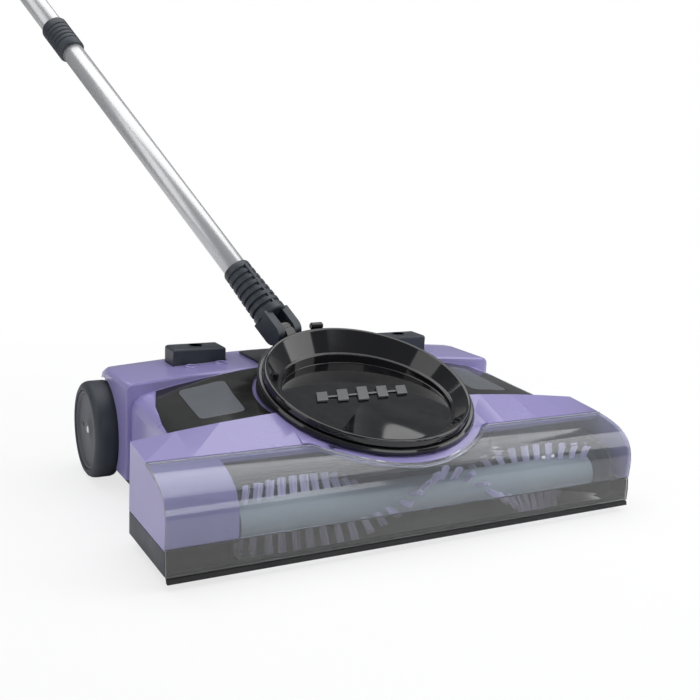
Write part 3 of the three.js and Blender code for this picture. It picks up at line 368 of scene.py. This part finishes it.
def finishPiece(name, bm, slot, body, stands=(), smooth=35, edge=0.0, segments=2):
    bmesh.ops.recalc_face_normals(bm, faces=bm.faces)
    mesh = bpy.data.meshes.new(name)
    bm.to_mesh(mesh)
    bm.free()
    return keepPiece(name, mesh, slot, body, stands, smooth, edge, segments)


def finishNode(node, bm, smooth=35, edge=0.0, segments=2):
    return finishPiece(node + "_fine", bm, slotOf[node], bodyOf[node], (node,), smooth, edge, segments)


def refinePart(node, edge=0.35, segments=2, smooth=32, bevelAngle=38):
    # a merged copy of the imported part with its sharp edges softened
    bm = bmesh.new()
    bm.from_mesh(frame["nodes"][node].data)
    bmesh.ops.remove_doubles(bm, verts=bm.verts, dist=2e-6)
    bmesh.ops.dissolve_limit(bm, angle_limit=math.radians(0.3), verts=bm.verts, edges=bm.edges)
    mesh = bpy.data.meshes.new(node + "_fine")
    bm.to_mesh(mesh)
    bm.free()
    return keepPiece(node + "_fine", mesh, slotOf[node], bodyOf[node], (node,), smooth, edge, segments, bevelAngle)


def stackRings(bm, rings, place, segments=96, closed=False):
    # circles (radius, height, shift, lean) bridged one to the next; closed joins the last to the first
    loops = []
    for i, ring in enumerate(rings):
        radius, height, shift, lean = (*ring, 0, 0)[:4]
        turn = Matrix.Translation((0, shift, height)) @ Matrix.Rotation(math.radians(lean), 4, "X")
        capped = not closed and i in (0, len(rings) - 1)
        made = bmesh.ops.create_circle(bm, cap_ends=capped, cap_tris=True, radius=radius, segments=segments,
                                       matrix=place @ turn)
        loops.append(list(dict.fromkeys(edge for vert in made["verts"] for edge in vert.link_edges
                                        if len(edge.link_faces) < 2)))
    following = loops[1:] + loops[:1] if closed else loops[1:]
    for one, two in zip(loops, following):
        bmesh.ops.bridge_loops(bm, edges=one + two)


def outlineSlab(bm, points, start, end, place):
    # an outline in Y, Z carried along X
    face = bm.faces.new([bm.verts.new(place @ Vector((start, y, z))) for y, z in points])
    moved = bmesh.ops.extrude_face_region(bm, geom=[face])["geom"]
    bmesh.ops.translate(bm, vec=place.to_3x3() @ Vector((end - start, 0, 0)),
                        verts=[item for item in moved if isinstance(item, bmesh.types.BMVert)])


def boxBlock(bm, low, high, place):
    middle, size = (Vector(low) + Vector(high)) / 2, Vector(high) - Vector(low)
    bmesh.ops.create_cube(bm, size=1, matrix=place @ Matrix.Translation(middle) @ Matrix.Diagonal((*size, 1)))


def alongX(place, x, y, z, side=1):
    return place @ Matrix.Translation((x, y, z)) @ Matrix.Rotation(math.radians(90 * side), 4, "Y")


def roundedRod(bm, r, half, edge, place, segments):
    rings = [(r - edge, -half), (r, edge - half), (r, half - edge), (r - edge, half)]
    stackRings(bm, rings, place, segments)


# ---- dish, its collar and its swivelling ring ----
dishShape = {"rings": [(67.5, -18, -1, -7), (71.5, -12, -0.5, -3.6), (75.6, -5.2), (79.2, -4.9), (78.5, -0.8),
                       (77.4, 0), (75.6, -0.4), (70.7, -6.2, -1.4, -1.8), (66.5, -11, -2.7, -3.6),
                       (64.6, -11.2, -2.7, -3.6), (63.6, -14.8, -2.7, -7.1)],
             "segments": 144, "edge": 0.7}
ringShape = {"section": [(76.5, -9.7), (81.8, -9.7), (82.4, -8.9), (82.4, -6.9), (81.2, -5.5), (76.5, -5.5)],
             "neck": [(80.4, -9.7), (83, -9.7), (92.5, -13.6), (92.5, 1.6), (84, -1.6), (80.4, -5.5)],
             "tongueHalf": 4.7, "eye": (92.5, -6, 7.6), "barrel": (86.6, -3.2, 3.0, 5.4), "barrelTurn": 2}


def makeDish(shape):
    bm = bmesh.new()
    stackRings(bm, shape["rings"], dishPlace, shape["segments"])
    finishNode("dish", bm, 40, shape["edge"], 3)


def makeSwivelRing(shape):
    bm = bmesh.new()
    stackRings(bm, shape["section"], swivelPlace, closed=True)
    half = shape["tongueHalf"]
    outlineSlab(bm, shape["neck"], -half, half, swivelPlace)
    y, z, r = shape["eye"]
    roundedRod(bm, r, half, 0.8, alongX(swivelPlace, 0, y, z), 48)
    y, z, r, half = shape["barrel"]
    turned = swivelPlace @ Matrix.Rotation(math.radians(shape["barrelTurn"] - swivelRest), 4, "Z")
    roundedRod(bm, r, half, 0.9, alongX(turned, 0, y, z), 40)
    boxBlock(bm, (-1.8, 81, -9.7), (1.8, y + 0.4, -4.4), turned)
    finishNode("swivel_ring", bm, 35, 0.3)


collarShape = {"section": [(83.4, -14.5), (89, -14.5), (89, -10.1), (83.4, -10.1)], "rearY": 46, "edge": 0.5}


def makeCollar(shape):
    # the lavender collar that shows below the front of the dish
    bm = bmesh.new()
    stackRings(bm, shape["section"], dishPlace, 144, True)
    cut = bmesh.ops.bisect_plane(bm, geom=[*bm.verts, *bm.edges, *bm.faces], dist=1e-7, clear_outer=True,
                                 plane_co=headPlace @ Vector((0, shape["rearY"], 0)), plane_no=(0, 1, 0))
    rims = [item for item in cut["geom_cut"] if isinstance(item, bmesh.types.BMEdge)]
    bmesh.ops.holes_fill(bm, edges=rims, sides=0)
    finishPiece("dish_collar", bm, "lavender_shell", "floor_head", edge=shape["edge"])


makeDish(dishShape)
makeCollar(collarShape)
makeSwivelRing(ringShape)
print("dish made")

# ---- handle: sleeve, tube sections, joiners, grip ----
sleeveShape = {"start": 15, "end": 67, "lowR": 13.6, "topR": 11.8, "bore": 10, "ribs": 7, "lowDepth": 2.2,
               "topDepth": 1.3, "ear": (5.2, 12.8, 9.3, 16.5), "spine": ((-1.3, -12.9, 15.5), (1.3, -10.3, 62))}
tubeShape = {"r": 9.7, "wall": 1.0, "section": 325, "start": 24.3, "pitch": 327, "joinerHalf": 17}
gripShape = {"rings": [(10.2, 0), (12.4, 0.4), (13.4, 5), (14.6, 14), (15.0, 36), (14.2, 66), (15.1, 96), (15.9, 114),
                       (15.9, 126.5), (15.2, 132), (12.4, 136.6), (7, 138.2)],
             "holeRings": (7, 8), "segments": 12, "overlap": 70}


def makeSleeve(shape):
    rings = [(shape["lowR"] - 1.2, shape["start"] - 1), (shape["lowR"], shape["start"])]
    first = shape["start"] + 2
    pitch = (shape["end"] - 6 - first) / shape["ribs"]
    for i in range(shape["ribs"]):
        share = i / shape["ribs"]
        r = shape["lowR"] + (shape["topR"] - shape["lowR"]) * share
        floor = r - shape["lowDepth"] - (shape["topDepth"] - shape["lowDepth"]) * share
        z = first + i * pitch
        rings += [(r, z + pitch * 0.04), (r, z + pitch * 0.56), (floor, z + pitch * 0.64), (floor, z + pitch * 0.96)]
    top, end = shape["topR"], shape["end"]
    rings += [(top, end - 6), (top, end - 1.6), (top - 0.6, end), (shape["bore"] - 0.2, end - 0.1)]
    bm = bmesh.new()
    stackRings(bm, rings, handlePlace, 72)
    near, far, r, top = shape["ear"]
    arc = [(r * math.cos(math.radians(a)), r * math.sin(math.radians(a))) for a in range(0, -181, -12)]
    for side in (-1, 1):
        outlineSlab(bm, [*arc, (-r, top), (r, top)], side * near, side * far, handlePlace)
    boxBlock(bm, *shape["spine"], handlePlace)
    finishNode("handle_sleeve", bm, 35, 0.35)


def makeTubes(shape):
    r, inner, length = shape["r"], shape["r"] - shape["wall"], shape["section"]
    for i, node in enumerate(("lower_tube", "middle_tube", "upper_tube")):
        bm = bmesh.new()
        start = handlePlace @ Matrix.Translation((0, 0, shape["start"] + i * shape["pitch"]))
        rolled = [(inner, 0), (r - 0.3, 0), (r, 0.5), (r, length - 0.5), (r - 0.3, length), (inner, length)]
        stackRings(bm, rolled, start, 72, True)
        finishNode(node, bm, 40)
    for i, node in enumerate(("tube_joiner_lower", "tube_joiner_upper")):
        bm = bmesh.new()
        middle = handlePlace @ Matrix.Translation((0, 0, shape["start"] + (i + 1) * shape["pitch"] - 1))
        half, outer = shape["joinerHalf"], r + 2.3
        rings = [(r, -half), (outer - 0.7, -half), (outer, 1.4 - half)]
        for groove in (-9, -4.5, 0, 4.5, 9):
            rings += [(outer, groove - 0.9), (outer - 0.7, groove - 0.5), (outer - 0.7, groove + 0.5),
                      (outer, groove + 0.9)]
        rings += [(outer, half - 1.4), (outer - 0.7, half), (r, half)]
        stackRings(bm, rings, middle, 72, True)
        finishNode(node, bm, 35, 0.15)


def makeGrip(shape, tube):
    bm = bmesh.new()
    base = tube["start"] + 2 * tube["pitch"] + tube["section"] - shape["overlap"]
    start = handlePlace @ Matrix.Translation((0, 0, base))
    place = start @ Matrix.Rotation(math.pi / shape["segments"], 4, "Z")  # so that a face looks backwards
    stackRings(bm, shape["rings"], place, shape["segments"])
    low, high = (shape["rings"][i][1] for i in shape["holeRings"])
    back = start.inverted()
    holes = []
    for face in bm.faces:
        middle = back @ face.calc_center_median()
        if low < middle.z < high and abs(middle.x) < 1:
            holes.append(face)
    rims = [edge for face in holes for edge in face.edges]
    bmesh.ops.delete(bm, geom=holes, context="FACES_ONLY")
    bmesh.ops.bridge_loops(bm, edges=rims)
    piece = finishNode("hand_grip", bm, 60)
    fine = piece.modifiers.new("fine", "SUBSURF")
    fine.levels = fine.render_levels = 3


makeSleeve(sleeveShape)
makeTubes(tubeShape)
makeGrip(gripShape, tubeShape)
print("handle made")

# ---- wheels ----
wheelShape = {"x": 168.25, "y": 218.5, "z": 38,
              "tyre": [(31, -9.2), (35.6, -9.75), (37.4, -8.8), (38, -6.6), (38, 3.6), (37.6, 6), (36.5, 8),
                       (34.6, 9.3), (32.2, 9.75), (31, 9)],
              "hub": [(3.3, -9), (30.7, -9), (30.7, 8.5), (29.7, 8.8), (28.6, 7.9), (27.6, 6.6), (9, 6.2), (7.6, 7),
                      (3.3, 7.2)],
              "slot": ((-1.1, 15.5, 6.1), (1.1, 20.5, 6.9))}


def makeWheels(shape):
    for side, name in ((-1, "left"), (1, "right")):
        place = alongX(headPlace, side * shape["x"], shape["y"], shape["z"], side)
        for part in ("tyre", "hub"):
            bm = bmesh.new()
            stackRings(bm, shape[part], place, 112, True)
            if part == "hub":
                boxBlock(bm, *shape["slot"], place)
            finishNode("wheel_" + part + "_" + name, bm, 35, 0.25)


makeWheels(wheelShape)
print("wheels made")

# ---- brush roll ----
brushShape = {"y": 28, "z": 25.6, "coreR": 12.6, "shaftR": 3.2, "left": -130, "right": 162}
tuftShape = {"perRow": 31, "endMargin": 6, "fibres": 22, "tipR": 25.1, "width": 5.2, "depth": 2.6, "splay": 1.25,
             "thick": 0.45, "taper": 0.8, "faces": 5,
             "winding": [(-130, 288), (-60, 238), (-25, 192), (5, 142), (27, 116), (45, 136), (68, 190), (95, 232),
                         (162, 300)]}


def makeBrushCore(shape):
    bm = bmesh.new()
    r, bore, left, right = shape["coreR"], shape["shaftR"], shape["left"], shape["right"]
    stackRings(bm, [(bore, left), (r - 0.6, left), (r, left + 0.6), (r, right - 0.6), (r - 0.6, right), (bore, right)],
               alongX(headPlace, 0, shape["y"], shape["z"]), 80, True)
    finishNode("brush_core", bm)


def windingAt(x, stops):
    for (x0, a0), (x1, a1) in zip(stops, stops[1:]):
        if x <= x1:
            return a0 + (a1 - a0) * (x - x0) / (x1 - x0)
    return stops[-1][1]


def makeTufts(node, phase, shape, core, seed):
    chance = random.Random(seed)
    bm = bmesh.new()
    left, right = core["left"] + shape["endMargin"], core["right"] - shape["endMargin"]
    for i in range(shape["perRow"]):
        x = left + (right - left) * i / (shape["perRow"] - 1)
        angle = math.radians(windingAt(x, shape["winding"]) + phase - 90 + chance.uniform(-2, 2))
        root = (headPlace @ Matrix.Translation((x, core["y"], core["z"])) @ Matrix.Rotation(angle, 4, "X"))
        for _ in range(shape["fibres"]):
            around, out = chance.uniform(0, 2 * math.pi), math.sqrt(chance.uniform(0, 1))
            a, b = out * math.cos(around) * shape["width"] / 2, out * math.sin(around) * shape["depth"] / 2
            low = Vector((a, b, core["coreR"] - 0.4))
            high = Vector((a * shape["splay"], b * shape["splay"] + chance.uniform(-0.4, 0.4),
                           shape["tipR"] - abs(a) * 0.25 - chance.uniform(0, 0.7)))
            lean = (high - low).to_track_quat("Z", "Y").to_matrix().to_4x4()
            bmesh.ops.create_cone(bm, cap_ends=True, segments=shape["faces"], radius1=shape["thick"],
                                  radius2=shape["thick"] * shape["taper"], depth=(high - low).length,
                                  matrix=root @ Matrix.Translation((low + high) / 2) @ lean)
    finishNode(node, bm, 50)


makeBrushCore(brushShape)
makeTufts("bristle_row_a", 0, tuftShape, brushShape, 3)
makeTufts("bristle_row_b", 180, tuftShape, brushShape, 8)
print("brush made")

# ---- bead along the window's rear edge ----
beadShape = {"reach": 2.6, "r": 1.0, "flangeR": 89.3, "edgeV": -54.6, "fillet": 12, "half": 183,
             "curve": ((-1.2, 34), (-2.5, 58), (12, 64), (39.7, 67.8))}


def windowHeight(y, curve):
    # height of the window's outer face at y, along its front curve
    low, high = 0.3, 1.0
    for _ in range(30):
        t = (low + high) / 2
        a, b, c, d = (1 - t) ** 3, 3 * t * (1 - t) ** 2, 3 * t * t * (1 - t), t ** 3
        here, rise = (a * p + b * q + c * m + d * n for p, q, m, n in zip(*curve))
        low, high = (t, high) if here < y else (low, t)
    return rise


def makeBead(shape):
    r, edge = shape["flangeR"] + shape["reach"], shape["edgeV"] - shape["reach"]
    fillet = shape["fillet"] - shape["reach"]
    reach = math.sqrt((r + fillet) ** 2 - (edge - fillet) ** 2)
    turn = math.atan2(edge - fillet, reach)
    around = [(r * math.cos(a), r * math.sin(a)) for a in (-math.pi - turn + (2 * turn + math.pi) * i / 60
                                                           for i in range(61))]
    corner = [(reach + fillet * math.cos(a), edge - fillet + fillet * math.sin(a))
              for a in (math.pi + turn + (math.pi / 2 - math.pi - turn) * i / 8 for i in range(1, 9))]
    flat = [*((-u, v) for u, v in reversed(corner)), *around, *corner]
    points = [(-shape["half"], flat[0][1]), *flat, (shape["half"], flat[-1][1])]
    lean = math.radians(dishTilt)
    spline = []
    for u, v in points:
        n = -20.0
        for _ in range(25):
            y = dishMiddle.y + v * math.cos(lean) - n * math.sin(lean)
            z = windowHeight(y, shape["curve"])
            n = (z - dishMiddle.z - v * math.sin(lean)) / math.cos(lean)
        spline.append(headPlace @ Vector((u, y, z)))
    data = bpy.data.curves.new("window_bead", "CURVE")
    data.dimensions, data.use_fill_caps = "3D", True
    data.bevel_depth, data.bevel_resolution = shape["r"] * mm, 3
    line = data.splines.new("POLY")
    line.points.add(len(spline) - 1)
    for point, place in zip(line.points, spline):
        point.co = (*place, 1)
    data.materials.append(finishes["smoked_window"])
    bead = bpy.data.objects.new("window_bead", data)
    bpy.context.scene.collection.objects.link(bead)
    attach(bead, "floor_head")


makeBead(beadShape)

# ---- small raised details on the head ----
detailShape = {"indicators": ((-104, 182.5), (-79.5, 182.5)), "indicatorRing": [(3.4, -0.6), (3.5, 0.7), (4.3, 1.1),
                                                                              (5.1, 0.7), (5.4, -0.6)],
               "pedals": ((-93.95, "power_pedal"), (93.95, "release_pedal")), "pedalY": 201.6, "pedalTop": 104.1,
               "badge": [(5.3, -0.2), (5.3, 0.3), (6.4, 0.3), (6.4, -0.2)],
               "badgeBar": ((-0.6, -3.6, -0.2), (0.6, 3.6, 0.3)), "badgeTurns": (-35, 25),
               "barTop": (94.8, 7.8, 162)}


def makeDetails(shape):
    crown, drop, half = shape["barTop"]
    bm = bmesh.new()
    for x, y in shape["indicators"]:
        top = crown - drop * (x / half) ** 2
        stackRings(bm, shape["indicatorRing"], headPlace @ Matrix.Translation((x, y, top)), 40, True)
    finishPiece("indicator_bezels", bm, "lavender_shell", "floor_head")
    for x, node in shape["pedals"]:
        bm = bmesh.new()
        place = headPlace @ Matrix.Translation((x, shape["pedalY"], shape["pedalTop"]))
        stackRings(bm, shape["badge"], place, 48, True)
        for turn in shape["badgeTurns"]:
            boxBlock(bm, *shape["badgeBar"], place @ Matrix.Rotation(math.radians(turn), 4, "Z"))
        finishPiece(node + "_badge", bm, slotOf[node], bodyOf[node], edge=0.1)


makeDetails(detailShape)
print("details made")

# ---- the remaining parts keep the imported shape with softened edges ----
partEdges = {"upper_housing": 0.6, "power_pedal": 0.9, "release_pedal": 0.9, "brush_window": 0.3, "dish_mark": 0.35,
             "centre_deck": 0.4}
madeHere = {name[:-5] for name in bpy.data.objects.keys() if name.endswith("_fine")}
for node in sorted(set(frame["nodes"]) - madeHere):
    refinePart(node, partEdges.get(node, 0.3))
print("parts refined")
